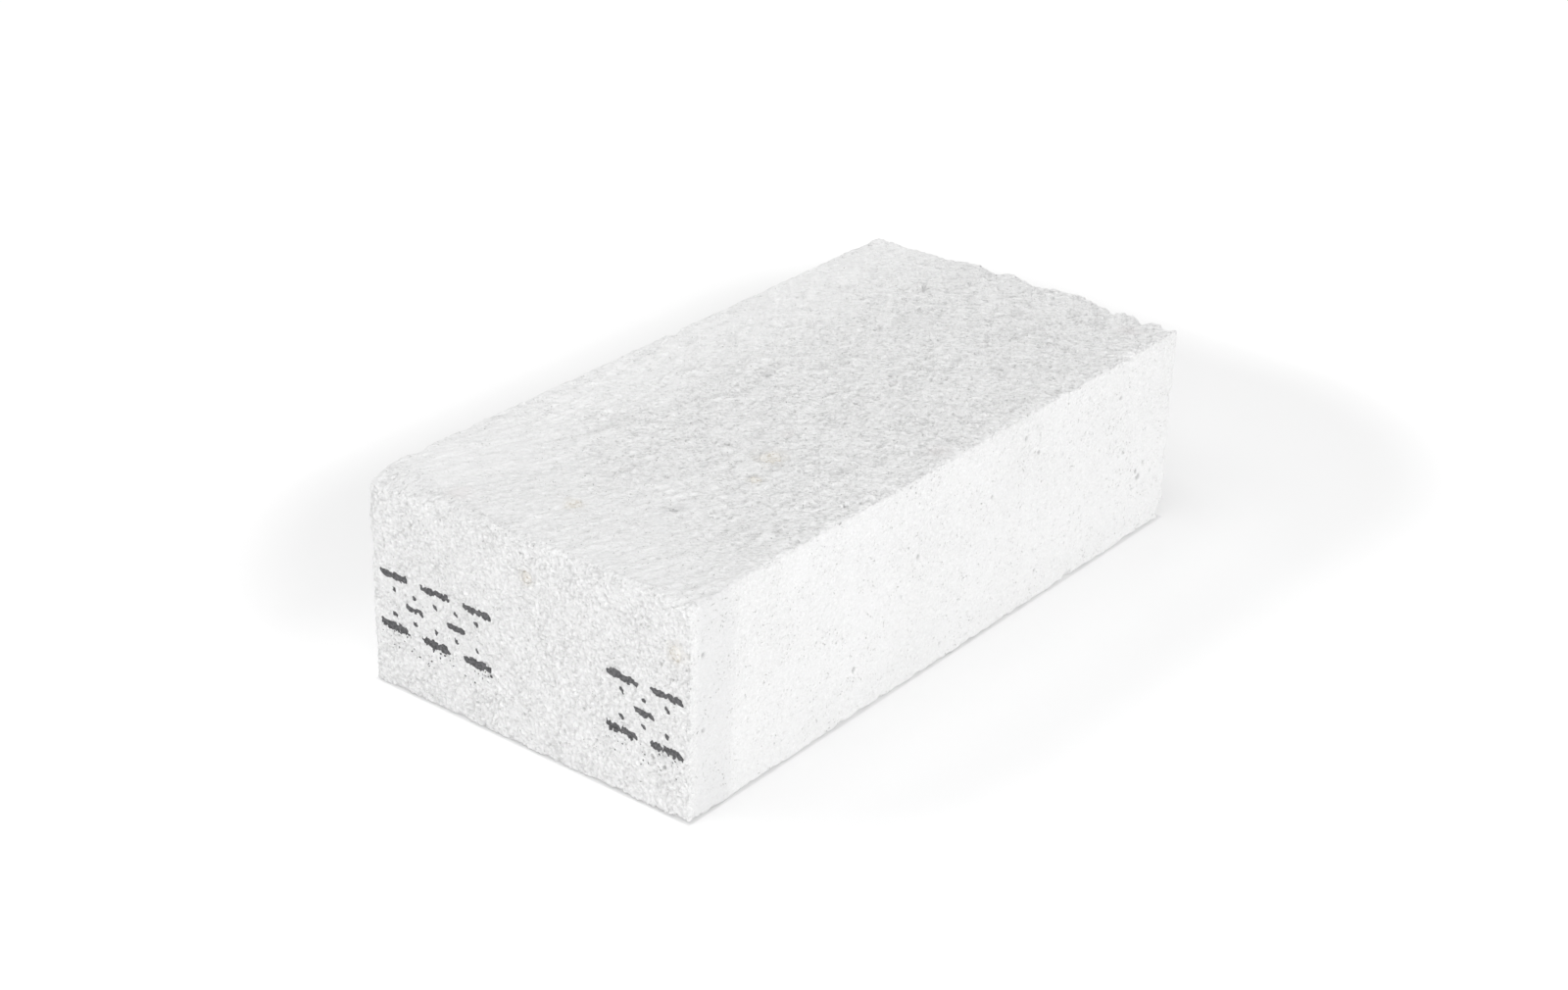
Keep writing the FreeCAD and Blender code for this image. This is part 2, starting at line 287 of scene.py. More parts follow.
def new_piece(name, mesh, material, slot_name, *nodes):
    """A piece made of this mesh that rides on the brick and stands for these CAD nodes."""
    piece = bpy.data.objects.new(name, mesh)
    bpy.context.scene.collection.objects.link(piece)
    mesh.materials.clear()
    mesh.materials.append(material)
    mesh.polygons.foreach_set("use_smooth", [True] * len(mesh.polygons))
    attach(piece, "root")
    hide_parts(*nodes)
    return piece


def plane_gaps(points):
    """How far each point lies inside each of the six faces, one column for each face."""
    return np.stack(
        [
            HEIGHT - points[:, Z],
            points[:, Z],
            HALF_WIDTH + points[:, Y],
            HALF_WIDTH - points[:, Y],
            points[:, X] - X_NEAR,
            X_FAR - points[:, X],
        ],
        axis=1,
    )


# ---------------------------------------------------------------- the brick's relief
def drag_relief(points):
    """Streaks and scratches along circles about the drag centre, as a height from about -1 to 1, and how much
    chalk is smeared between them, from 0 to 1."""
    across = points[:, X] - DRAG_CENTRE[0]
    back = points[:, Y] - DRAG_CENTRE[1]
    radius = np.hypot(across, back)
    along = np.arctan2(across, -back) * POLAR_SCALE
    polar = np.stack([radius, along, np.zeros(len(points))], axis=1)
    wander = smooth_noise(polar, (30.0, 60.0, 1.0), 301) * 2.5
    polar[:, 0] += wander + smooth_noise(polar, (5.0, 12.0, 1.0), 305) * 0.4
    streaks = rough_noise(polar, (1.0, 5.0, 1.0), 2, 302)
    broad = smooth_noise(polar, (2.6, 30.0, 1.0), 303)
    scratches = ramp(smooth_noise(polar, (1.1, 26.0, 1.0), 304), 0.55, 0.9)
    smears = smooth_noise(polar, (0.8, 9.0, 1.0), 308) + 0.3 * smooth_noise(polar, (5.0, 14.0, 1.0), 309)
    return 1.1 * streaks + 0.3 * broad - 0.7 * scratches, ramp(smears, 0.3, 0.8)


def flake_relief(points):
    """Short torn flakes that all lie one way across the top bed, as a height from about -1 to 1."""
    turn = math.radians(FLAKE_TURN)
    run = points[:, X] * math.cos(turn) + points[:, Y] * math.sin(turn)
    off = points[:, Y] * math.cos(turn) - points[:, X] * math.sin(turn)
    turned = np.stack([run, off, np.zeros(len(points))], axis=1)
    return 0.6 * smooth_noise(turned, (3.2, 1.5, 1.0), 306) + 0.6 * smooth_noise(turned, (1.5, 0.8, 1.0), 307)


def tear_relief(points):
    """Short oblique tears by the far end of the top bed, each a crack with a raised lip, in millimetres."""
    total = np.zeros(len(points))
    for along, across, length, turn in TEARS:
        aside = points[:, X] - (X_NEAR + along)
        ahead = points[:, Y] - across
        run = aside * math.cos(turn) + ahead * math.sin(turn)
        off = ahead * math.cos(turn) - aside * math.sin(turn) + 0.5 * smooth_noise(points, 2.5, 321)
        fade = (1 - ramp(np.abs(run), 0.3 * length, 0.55 * length)) * (points[:, Z] > HEIGHT - 3)
        total += fade * (0.4 * np.exp(-(((off - 0.9) / 0.6) ** 2)) - 0.9 * np.exp(-((off / 0.5) ** 2)))
    return total


def face_shares(points, gaps):
    """How much each point takes of the relief of the top, the bottom, the sides and the ends."""
    weights = 1.0 / (np.abs(gaps) + FACE_BLEND) ** 4
    weights /= weights.sum(axis=1, keepdims=True)
    top, bottom, right, left, near, far = weights.T
    roll_width = 3.0 + 9.0 * ramp(points[:, Y], 0.0, 50.0)
    rolled = top * (1 - ramp(gaps[:, NEAR], 0.4 * roll_width, roll_width))
    sides = right + left
    wrapped = sides * (1 - ramp(gaps[:, NEAR], 2.0, 5.0))
    ends = near + far + rolled + 0.7 * wrapped
    return SimpleNamespace(
        top=top - rolled, bottom=bottom, right=right, left=left, near=near, sides=sides - wrapped, ends=ends
    )


def grain_noises(points):
    """The noises that the faces share: packed grains of three sizes, and slow changes across the brick."""
    bent = points + np.stack([smooth_noise(points, 1.7, 5 + axis) for axis in (X, Y, Z)], axis=1) * 0.45
    return SimpleNamespace(
        bent=bent,
        coarse=grains(bent, 1.6, 11),
        middle=grains(bent, 0.95, 23),
        fine=smooth_noise(bent, 0.72, 29),
        swell=rough_noise(points, 6.0, 3, 41),
        patch=smooth_noise(points, 24.0, 51),
    )


def worn_share(points, grain):
    """How far the top bed is torn open: least by the printed end and along its left edge."""
    worn = 0.5 + 0.5 * ramp(points[:, X] - X_NEAR + 12.0 * grain.patch, 20.0, 80.0)
    return worn * (1 - 0.35 * ramp(points[:, Y] + 6.0 * grain.patch, 15.0, 45.0))


def end_relief(points, grain):
    """Crumbly packed grains, a little coarser towards the foot."""
    clump = 0.6 + 0.5 * smooth_noise(points, 4.5, 53)
    height = clump * (0.3 * (grain.coarse - 0.45) + 0.5 * (grain.middle - 0.45))
    height += 0.3 * grain.fine + 0.14 * grain.swell
    return height * (1.18 - 0.18 * ramp(points[:, Z], 10.0, 32.0))


def top_relief(points, grain, worn, drag):
    """Torn flakes in patches, crossed by the drag streaks."""
    torn_patch = 0.3 + 0.9 * ramp(rough_noise(points, 7.0, 2, 54), -0.25, 0.4)
    flakes = torn_patch * (0.58 * flake_relief(points) + 0.25 * (grain.middle - 0.5))
    height = worn * (flakes + 0.35 * grain.fine)
    drag_depth = 0.26 - 0.1 * ramp(points[:, X], -30.0, 60.0)
    return height + 0.05 * grain.swell + drag_depth * drag


def side_relief(points, grain):
    """A smooth face with fine upright striae."""
    striae = smooth_noise(points, (0.8, 0.8, 14.0), 57)
    return 0.09 * (grain.middle - 0.45) + 0.08 * grain.fine + 0.03 * striae + 0.03 * grain.swell


def pit_share(points, grain, share, worn):
    """Scattered small pits on every face, from 0 outside them to 1 in their middles."""
    bent = grain.bent
    end_pits = pits(bent, 2.9, 61, 0.16, 0.28)
    top_pits = np.maximum(pits(bent, 1.9, 71, 0.3, 0.36), pits(bent, 1.1, 73, 0.2, 0.4)) * worn
    side_pits = np.maximum(pits(bent, 4.2, 81, 0.3, 0.22), pits(bent, 1.6, 83, 0.22, 0.4))
    side_pits *= 0.5 + 0.5 * ramp(points[:, X], -20.0, 70.0)
    return share.ends * end_pits + share.top * top_pits + (share.sides + share.bottom) * side_pits


def pore_share(gaps, nearest):
    """1 inside the pores of the CAD shape, which lie inside a face and away from arrises, roll and lip."""
    off_roll = np.maximum(ramp(gaps[:, NEAR], 11.0, 13.0), ramp(gaps[:, TOP], 5.0, 7.0))
    off_lip = np.maximum(ramp(gaps[:, FAR], 5.0, 7.0), ramp(gaps[:, TOP], 15.0, 17.0))
    return ramp(nearest[:, 0], 0.2, 0.7) * ramp(nearest[:, 1], 3.0, 5.0) * off_roll * off_lip


def chalk_and_painted_light_share(points, grain, share, worn, height, smears):
    """How much chalk white each point takes: chalk on the drag smears, a painted highlight on the tops of
    grains, painted light low on the sides and ends, less on the upper right of the ends, and lighter over the
    top beyond the printed end, more so towards its left edge.
    """
    # Less painted highlight on the upper right of the ends.
    upper_right = ramp(points[:, Z], 28.0, 52.0) * (1 - ramp(points[:, Y], 5.0, 40.0))
    grain_tops = (0.9 - 0.4 * upper_right) * share.ends + (1.4 * worn - 0.4) * share.top
    # Painted highlight on the tops of grains.
    chalk_and_painted_light = ramp(height, 0.03, 0.24) * grain_tops
    # Painted light low on the ends.
    chalk_and_painted_light += 0.2 * share.ends * (1 - ramp(points[:, Z], 8.0, 32.0))
    # Painted light low on the sides.
    chalk_and_painted_light += share.sides * (0.42 - 0.38 * ramp(points[:, Z], 12.0, 50.0))
    beyond = ramp(points[:, X], -90.0, -40.0)
    chalk_and_painted_light += share.top * beyond * (0.58 + 0.2 * ramp(points[:, Y] + 6.0 * grain.patch, 10.0, 45.0))
    return chalk_and_painted_light + share.top * 0.55 * smears


def arris_crumble(points, share, nearest):
    """How much is broken off along the arrises, in millimetres."""
    crumble = ramp(rough_noise(points, 2.0, 3, 91), -0.05, 0.6)
    crumble *= 1 - share.left * ramp(points[:, X], -60.0, 0.0)
    depth = 0.12 + 0.45 * share.right + 0.55 * share.near + 0.8 * share.bottom
    return (1 - ramp(nearest[:, 1], 0.3, 2.6)) * crumble * depth


def relief(points, gaps):
    """How far each point moves along its normal, in millimetres, then three shares from 0 to about 1: how
    deep it lies in a hollow, darkened there by painted shade and some dirt, how much chalk and painted light
    it takes, and how open the grain is there."""
    share = face_shares(points, gaps)
    grain = grain_noises(points)
    worn = worn_share(points, grain)
    drag, smears = drag_relief(points)
    nearest = np.sort(np.abs(gaps), axis=1)
    torn = ramp(nearest[:, 0], 0.3, 1.2)

    height = share.ends * end_relief(points, grain)
    height += share.top * top_relief(points, grain, worn, drag)
    height += share.sides * side_relief(points, grain)
    height += share.bottom * (0.12 * (grain.middle - 0.75) - 0.05 * np.abs(grain.swell))
    torn_height = 0.4 * (grain.coarse - 0.5) + 0.15 * grain.fine + 0.25 * grain.swell
    height = height * (1 - torn) + torn_height * torn

    pitted = pit_share(points, grain, share, worn) * (1 - torn)
    height -= 0.4 * pitted
    height += share.top * tear_relief(points)
    chalk_and_painted_light = chalk_and_painted_light_share(points, grain, share, worn, height, smears)
    height -= arris_crumble(points, share, nearest)
    # Painted shade, with some dirt: the gaps between grains, the pits and the pores are darkened.
    gaps_dark = ramp(-height, 0.12, 0.5) * (0.4 * share.ends + 0.3 * share.top)
    hollow_shade_and_dirt = np.clip(0.6 * pitted + gaps_dark + 0.7 * pore_share(gaps, nearest), 0, 1)
    open_grain = 0.75 * share.ends + 1.25 * worn * share.top + 0.5 * share.sides
    return height, hollow_shade_and_dirt, chalk_and_painted_light, open_grain


def smoothed(mesh, points, share, rounds):
    """The points drawn towards the middle of their neighbours, each by its own share."""
    ends = np.empty(len(mesh.edges) * 2, np.int32)
    mesh.edges.foreach_get("vertices", ends)
    first, second = ends.reshape(-1, 2).T
    degree = np.bincount(ends, minlength=len(points))
    for _ in range(rounds):
        for axis in (X, Y, Z):
            value = points[:, axis]
            total = np.bincount(first, value[second], len(points))
            total += np.bincount(second, value[first], len(points))
            points[:, axis] = value + share * (total / degree - value)
    return points


def flatten_ink_pockets(points):
    """Closes the shallow pockets under the ink marks, so that the ink can follow the grain."""
    for node in INK_GROUPS:
        low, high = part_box(node)
        inside = points[:, X] < X_NEAR + POCKET_DEPTH
        inside &= (points[:, Y] > low.y / MM - 0.5) & (points[:, Y] < high.y / MM + 0.5)
        inside &= (points[:, Z] > low.z / MM - 0.5) & (points[:, Z] < high.z / MM + 0.5)
        points[inside, X] = X_NEAR


def box_map(mesh, points):
    """An even map of the six faces, so that no island overlaps another."""
    corners = np.empty(len(mesh.loops), np.int32)
    mesh.loops.foreach_get("vertex_index", corners)
    counts = np.empty(len(mesh.polygons), np.int32)
    mesh.polygons.foreach_get("loop_total", counts)
    owner = np.repeat(np.arange(len(counts)), counts)
    summed = np.stack([np.bincount(owner, points[corners, axis]) for axis in (X, Y, Z)], axis=1)
    face = np.argmin(plane_gaps(summed / counts[:, None]), axis=1)[owner]
    place = points[corners]
    margin = 2.0
    sheet = 2 * (2 * HALF_WIDTH + HEIGHT) + 5 * margin + 2 * LIP
    column = LENGTH + LIP + 3 * margin
    across = place[:, X] - X_NEAR + margin
    wide = 2 * HALF_WIDTH + margin
    tall = HEIGHT + margin
    side_y = place[:, Y] + HALF_WIDTH
    layout = {
        TOP: (across, side_y + margin),
        BOTTOM: (across, side_y + margin + wide),
        RIGHT: (across, place[:, Z] + margin + 2 * wide),
        LEFT: (across, place[:, Z] + margin + 2 * wide + tall),
        NEAR: (side_y + column, place[:, Z] + margin),
        FAR: (side_y + column, place[:, Z] + margin + tall),
    }
    coords = np.zeros((len(corners), 2))
    for key, (u, v) in layout.items():
        chosen = face == key
        coords[chosen, 0] = u[chosen]
        coords[chosen, 1] = v[chosen]
    coords /= sheet
    layer = mesh.uv_layers.new(name="OFBake")
    layer.data.foreach_set("uv", coords.astype(np.float32).ravel())


def set_attribute(mesh, name, values):
    layer = mesh.attributes.new(name, "FLOAT", "POINT")
    layer.data.foreach_set("value", values.astype(np.float32))


def stain_field(points):
    """Faint warm staining round the tan grains, 0 to 1."""
    places = [(X_NEAR + along, across, HEIGHT, 1.9 * reach) for along, across, reach in TOP_SPOTS]
    places += [(X_NEAR, across, up, 2.0 * reach) for across, up, reach in END_SPOTS]
    total = np.zeros(len(points))
    ragged = smooth_noise(points, 1.6, 131)
    for x, y, z, reach in places:
        gap = np.linalg.norm(points - np.array([x, y, z]), axis=1)
        total = np.maximum(total, 1 - ramp(gap * (1 + 0.35 * ragged), 0.35 * reach, reach))
    return total


def blush_field(points):
    """A few faint pinkish patches on the top bed, 0 to 1."""
    total = np.zeros(len(points))
    for along, across, reach in BLUSHES:
        gap = np.linalg.norm(points - np.array([X_NEAR + along, across, HEIGHT]), axis=1)
        total = np.maximum(total, 1 - ramp(gap, 0.2 * reach, reach))
    return total


def grey_band_field(points):
    """A faint grey band down the right side, just behind the printed end, 0 to 1."""
    behind = points[:, X] - X_NEAR
    ragged = behind + 1.5 * smooth_noise(points, 9.0, 141)
    band = ramp(behind, 2.0, 4.5) * (1 - ramp(ragged, 14.0, 20.0))
    return band * (1 - ramp(points[:, Y] + HALF_WIDTH, 0.4, 1.2))


def refine_printed_end(mesh):
    """Halves the quads of the printed end, which is seen from nearest."""
    fine = bmesh.new()
    fine.from_mesh(mesh)
    limit = (X_NEAR + REFINED) * MM
    edges = [edge for edge in fine.edges if max(vert.co.x for vert in edge.verts) < limit]
    bmesh.ops.subdivide_edges(fine, edges=edges, cuts=1, use_grid_fill=True)
    fine.to_mesh(mesh)
    fine.free()


def make_brick(material):
    mesh = voxel_copy("brick_body", VOXEL, "brick")
    points = coordinates(mesh) / MM
    flatten_ink_pockets(points)
    rolled = 1 - ramp(points[:, X] - X_NEAR, *ROLL_LENGTH)
    rolled *= 1 - ramp(HEIGHT - points[:, Z], *ROLL_DROP)
    points = smoothed(mesh, points, ROLL_SMOOTHING * rolled, ROLL_ROUNDS)
    set_coordinates(mesh, points * MM)
    refine_printed_end(mesh)
    points = coordinates(mesh) / MM
    normals = normals_of(mesh)
    height, hollow_shade_and_dirt, chalk_and_painted_light, open_grain = relief(points, plane_gaps(points))
    resting = points[:, Z] < 0.3
    height[resting] = np.minimum(height[resting], 0.0)
    shaped = points + normals * height[:, None]
    shaped[:, Z] = np.maximum(shaped[:, Z], 0.0)
    set_coordinates(mesh, shaped * MM)
    fields = [hollow_shade_and_dirt, chalk_and_painted_light, open_grain, stain_field(points), blush_field(points), grey_band_field(points)]
    for name, values in zip(SURFACE_FIELDS, fields):
        set_attribute(mesh, name, values)
    box_map(mesh, points)
    return new_piece("brick", mesh, material, "refractory", "brick_body")


# ---------------------------------------------------------------- tan grains
def make_spots(material):
    """The grains fill their pockets, grown a little so that no gap shows, and share the brick's relief."""
    mesh = voxel_copy("iron_spots", SPOT_VOXEL, "tan_grains")
    points = coordinates(mesh) / MM
    normals = normals_of(mesh)
    height = relief(points, plane_gaps(points))[0]
    outer = np.min(plane_gaps(points), axis=1) < 0.2
    height = np.where(outer, height + 0.05, 0.3)
    set_coordinates(mesh, (points + normals * height[:, None]) * MM)
    return new_piece("tan_grains", mesh, material, "tan_grain", "iron_spots")


# ---------------------------------------------------------------- ink
def bar_drops(middle_y, middle_z, length, tall, rng):
    """The leaning ink drops of one bar: across, up, half width, half height, slant."""
    count = round(length / DROP_PITCH)
    drops = []
    for i in range(count):
        across = middle_y + (i - (count - 1) / 2) * DROP_PITCH + rng.uniform(-0.15, 0.15)
        up = middle_z + rng.uniform(-0.25, 0.25)
        half_width = rng.uniform(0.68, 0.9)
        half_height = tall * rng.uniform(0.75, 1.15)
        drops.append((across, up, half_width, half_height, rng.uniform(0.35, 0.7)))
    return drops


def group_drops(first_y, columns, rng):
    """All the drops of one ink mark, with the stray specks below its bars."""
    drops = []
    for column in range(columns):
        middle_y = first_y - COLUMN_PITCH * column
        drops += bar_drops(middle_y, MIDDLE_ROW_Z + ROW_PITCH, LONG_BAR, 1.3, rng)
        drops += bar_drops(middle_y, MIDDLE_ROW_Z - ROW_PITCH, LONG_BAR, 1.5, rng)
    for column in range(columns - 1):
        middle_y = first_y - COLUMN_PITCH * (column + 0.5)
        drops += bar_drops(middle_y, MIDDLE_ROW_Z, SHORT_BAR, 1.15, rng)
    for half_column in range(2 * columns - 1):
        dot_y = first_y - COLUMN_PITCH * half_column / 2
        drops += bar_drops(dot_y, MIDDLE_ROW_Z + ROW_PITCH / 2, DOT, 0.95, rng)
        drops += bar_drops(dot_y, MIDDLE_ROW_Z - ROW_PITCH / 2, DOT, 1.0, rng)
    last_y = first_y - COLUMN_PITCH * (columns - 1)
    for _ in range(SPECKS_PER_COLUMN * columns):
        across = rng.uniform(last_y - LONG_BAR / 2, first_y + LONG_BAR / 2)
        up = MIDDLE_ROW_Z - ROW_PITCH - 1.2 - SPECKS_BELOW * rng.uniform(0, 1) ** 1.3
        size = rng.uniform(0.13, 0.27)
        drops.append((across, up, size, size * 1.2, 0.3))
    return drops


def ink_field(points, drops):
    """How much ink lies at each point: over 1 is covered."""
    total = np.zeros(len(points))
    for across, up, half_width, half_height, slant in drops:
        side = points[:, Y] - across
        rise = points[:, Z] - up
        near = (np.abs(side) < 3 * half_width) & (np.abs(rise) < 3 * half_height)
        leaned = side[near] - slant * rise[near]
        spread = (leaned / half_width) ** 2 + (rise[near] / half_height) ** 2
        total[near] += np.exp(-1.2 * spread) * 2.2
    return total


def make_ink(name, node, brick, material, seed):
    """The dried ink of one mark: a thin closed film that lies on the brick's grain."""
    rng = np.random.default_rng(seed)
    first_y, columns = INK_GROUPS[node]
    drops = group_drops(first_y, columns, rng)
    low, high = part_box(node)
    film = bmesh.new()
    film.from_mesh(brick.data)
    reach = 2.0 * MM
    below = 8.0 * MM

    def outside(face):
        middle = face.calc_center_median()
        return (
            middle.x > (X_NEAR + 1.6) * MM
            or not low.y - reach < middle.y < high.y + reach
            or not low.z - below < middle.z < high.z + reach
        )

    bmesh.ops.delete(film, geom=[f for f in film.faces if outside(f)], context="FACES")
    bmesh.ops.subdivide_edges(film, edges=film.edges, cuts=1, use_grid_fill=True)
    patch = bpy.data.meshes.new(name)
    film.to_mesh(patch)
    film.free()
    points = coordinates(patch) / MM
    wet = ink_field(points, drops)
    wet *= 1 + 0.4 * smooth_noise(points, 0.6, seed + 401)

    film = bmesh.new()
    film.from_mesh(patch)
    film.verts.ensure_lookup_table()
    dry = [f for f in film.faces if sum(wet[v.index] for v in f.verts) / len(f.verts) < 1.0]
    bmesh.ops.delete(film, geom=dry, context="FACES")
    bmesh.ops.triangulate(film, faces=film.faces)
    film.to_mesh(patch)
    film.free()
    for layer in list(patch.attributes):
        if layer.name in SURFACE_FIELDS:
            patch.attributes.remove(layer)
    while patch.uv_layers:
        patch.uv_layers.remove(patch.uv_layers[0])

    piece = new_piece(name, patch, material, "ink", node)
    skin = piece.modifiers.new("film", "SOLIDIFY")
    skin.thickness = FILM_THICKNESS * MM
    skin.offset = 0.0
    return piece


# ---------------------------------------------------------------- materials
def node_material(name):
    material = bpy.data.materials.new(name)
    material.use_nodes = True
    tree = material.node_tree
    tree.nodes.clear()
    output = tree.nodes.new("ShaderNodeOutputMaterial")
    shader = tree.nodes.new("ShaderNodeBsdfPrincipled")
    tree.links.new(shader.outputs["BSDF"], output.inputs["Surface"])
    place = tree.nodes.new("ShaderNodeTexCoord")
    return material, tree, shader, place.outputs["Object"]


def noise_node(tree, place, size_mm, detail=2.0, rough=0.5):
    noise = tree.nodes.new("ShaderNodeTexNoise")
    noise.inputs["Scale"].default_value = 1.0 / (size_mm * MM)
    noise.inputs["Detail"].default_value = detail
    noise.inputs["Roughness"].default_value = rough
    tree.links.new(place, noise.inputs["Vector"])
    return noise.outputs["Fac"]


def turned_place(tree, place, degrees, stretch):
    """Coordinates turned about Z and drawn out along the turned X axis."""
    mapping = tree.nodes.new("ShaderNodeMapping")
    mapping.vector_type = "TEXTURE"
    mapping.inputs["Rotation"].default_value = (0.0, 0.0, math.radians(degrees))
    mapping.inputs["Scale"].default_value = (stretch, 1.0, 1.0)
    tree.links.new(place, mapping.inputs["Vector"])
    return mapping.outputs["Vector"]


def map_range(tree, value, low, high, to_low=0.0, to_high=1.0):
    mapped = tree.nodes.new("ShaderNodeMapRange")
    mapped.interpolation_type = "SMOOTHSTEP"
    mapped.inputs["From Min"].default_value = low
    mapped.inputs["From Max"].default_value = high
    mapped.inputs["To Min"].default_value = to_low
    mapped.inputs["To Max"].default_value = to_high
    tree.links.new(value, mapped.inputs["Value"])
    return mapped.outputs["Result"]


def math_node(tree, operation, first, second):
    node = tree.nodes.new("ShaderNodeMath")
    node.operation = operation
    for socket, value in zip(node.inputs, (first, second)):
        if isinstance(value, (int, float)):
            socket.default_value = value
        else:
            tree.links.new(value, socket)
    return node.outputs["Value"]


def mix_colour(tree, share, first, second):
    mix = tree.nodes.new("ShaderNodeMix")
    mix.data_type = "RGBA"
    tree.links.new(share, mix.inputs["Factor"])
    for socket, value in ((mix.inputs["A"], first), (mix.inputs["B"], second)):
        if isinstance(value, tuple):
            socket.default_value = (*value, 1.0)
        else:
            tree.links.new(value, socket)
    return mix.outputs["Result"]


def scaled(tree, value, strength):
    return math_node(tree, "MULTIPLY", value, strength)


def attribute_node(tree, name):
    node = tree.nodes.new("ShaderNodeAttribute")
    node.attribute_name = name
    return node.outputs["Fac"]


def bump_node(tree, height, distance_mm, before=None):
    bump = tree.nodes.new("ShaderNodeBump")
    bump.inputs["Distance"].default_value = distance_mm * MM
    bump.inputs["Strength"].default_value = 1.0
    tree.links.new(height, bump.inputs["Height"])
    if before is not None:
        tree.links.new(before, bump.inputs["Normal"])
    return bump.outputs["Normal"]


def refractory_material():
    """White fired refractory: mottled, speckled and dead matt."""
    material, tree, shader, place = node_material("white_refractory")
    open_grain = attribute_node(tree, "open_grain")
    cloud = map_range(tree, noise_node(tree, place, 34.0, 3.0), 0.3, 0.7)
    colour = mix_colour(tree, cloud, *BODY_TONES)
    fleck = map_range(tree, noise_node(tree, place, 0.6, 3.0, 0.6), 0.5, 0.7)
    fleck = scaled(tree, fleck, map_range(tree, open_grain, 0.0, 1.0, 0.1, 0.3))
    colour = mix_colour(tree, fleck, colour, GREY_FLECK)
    chalk = map_range(tree, noise_node(tree, place, 0.8, 3.0, 0.6), 0.5, 0.7)
    chalk = scaled(tree, chalk, map_range(tree, open_grain, 0.0, 1.0, 0.3, 0.85))
    colour = mix_colour(tree, chalk, colour, CHALK_AND_LIGHT_WHITE)
    # Pale and dark dashes follow the dash bump: painted highlights on its crests and painted shade in its
    # troughs.
    dash = noise_node(tree, turned_place(tree, place, FLAKE_TURN, 2.4), 0.9, 3.0, 0.6)
    dashed = map_range(tree, open_grain, 0.4, 1.25, 0.1, 1.0)
    dash_highlight = scaled(tree, map_range(tree, dash, 0.51, 0.58), dashed)
    colour = mix_colour(tree, dash_highlight, colour, DASH_HIGHLIGHT)
    dash_shade = scaled(tree, map_range(tree, dash, 0.43, 0.35, 0.0, 0.85), dashed)
    colour = mix_colour(tree, dash_shade, colour, DASH_SHADE)
    for field, strength, tint in FIELD_TINTS:
        colour = mix_colour(tree, scaled(tree, attribute_node(tree, field), strength), colour, tint)
    speck = map_range(tree, noise_node(tree, place, 0.55, 1.0), 0.68, 0.75)
    crowd = map_range(tree, noise_node(tree, place, 5.0, 2.0), 0.4, 0.6)
    speck = scaled(tree, speck, crowd)
    colour = mix_colour(tree, scaled(tree, speck, 0.7), colour, DARK_SPECK)
    tree.links.new(colour, shader.inputs["Base Color"])
    rough = map_range(tree, noise_node(tree, place, 2.0), 0.3, 0.7, 0.86, 1.0)
    tree.links.new(rough, shader.inputs["Roughness"])
    shader.inputs["Specular IOR Level"].default_value = 0.25
    coarseness = map_range(tree, open_grain, 0.0, 1.0, 0.6, 1.6)
    grit = scaled(tree, noise_node(tree, place, 0.4, 4.0, 0.65), coarseness)
    normal = bump_node(tree, grit, 0.22)
    normal = bump_node(tree, scaled(tree, dash, open_grain), 0.8, normal)
    normal = bump_node(tree, scaled(tree, speck, -1.0), 0.25, normal)
    tree.links.new(normal, shader.inputs["Normal"])
    return material


def ink_material():
    """Dried black pigment ink on white grain, thin in places."""
    material, tree, shader, place = node_material("dried_ink")
    thin = map_range(tree, noise_node(tree, place, 0.8, 3.0), 0.35, 0.75)
    colour = mix_colour(tree, thin, (0.085, 0.085, 0.088), (0.17, 0.17, 0.175))
    tree.links.new(colour, shader.inputs["Base Color"])
    rough = map_range(tree, noise_node(tree, place, 0.5), 0.3, 0.7, 0.7, 0.95)
    tree.links.new(rough, shader.inputs["Roughness"])
    shader.inputs["Specular IOR Level"].default_value = 0.3
    tree.links.new(bump_node(tree, noise_node(tree, place, 0.35, 2.0), 0.08), shader.inputs["Normal"])
    return material


def tan_material():
    """Iron-stained grain: cream and pale tan, with a few brown crumbs."""
    material, tree, shader, place = node_material("tan_grain")
    crumbs = map_range(tree, noise_node(tree, place, 1.2, 3.0, 0.6), 0.36, 0.6)
    colour = mix_colour(tree, crumbs, (0.70, 0.675, 0.63), (0.83, 0.82, 0.80))
    dash = noise_node(tree, turned_place(tree, place, FLAKE_TURN, 2.0), 0.9, 3.0, 0.6)
    brown = map_range(tree, dash, 0.54, 0.66, 0.0, 0.75)
    colour = mix_colour(tree, brown, colour, (0.44, 0.385, 0.31))
    tree.links.new(colour, shader.inputs["Base Color"])
    shader.inputs["Roughness"].default_value = 0.9
    shader.inputs["Specular IOR Level"].default_value = 0.25
    tree.links.new(bump_node(tree, noise_node(tree, place, 0.4, 4.0, 0.65), 0.22), shader.inputs["Normal"])
    return material


def vector_math(tree, operation, first, second=None):
    """A sum on whole vectors, or a vector's length."""
    node = tree.nodes.new("ShaderNodeVectorMath")
    node.operation = operation
    tree.links.new(first, node.inputs[0])
    if second is not None:
        node.inputs[1].default_value = second
    return node.outputs["Value" if operation == "LENGTH" else "Vector"]


def rectangle_gap(tree, place, middle, half_sides):
    """How far a place lies outside a rectangle on the floor that is square to the axes, in metres."""
    beside = vector_math(tree, "SUBTRACT", place, middle)
    beside = vector_math(tree, "ABSOLUTE", beside)
    beside = vector_math(tree, "SUBTRACT", beside, half_sides)
    beside = vector_math(tree, "MAXIMUM", beside, (0.0, 0.0, 0.0))
    return vector_math(tree, "LENGTH", beside)


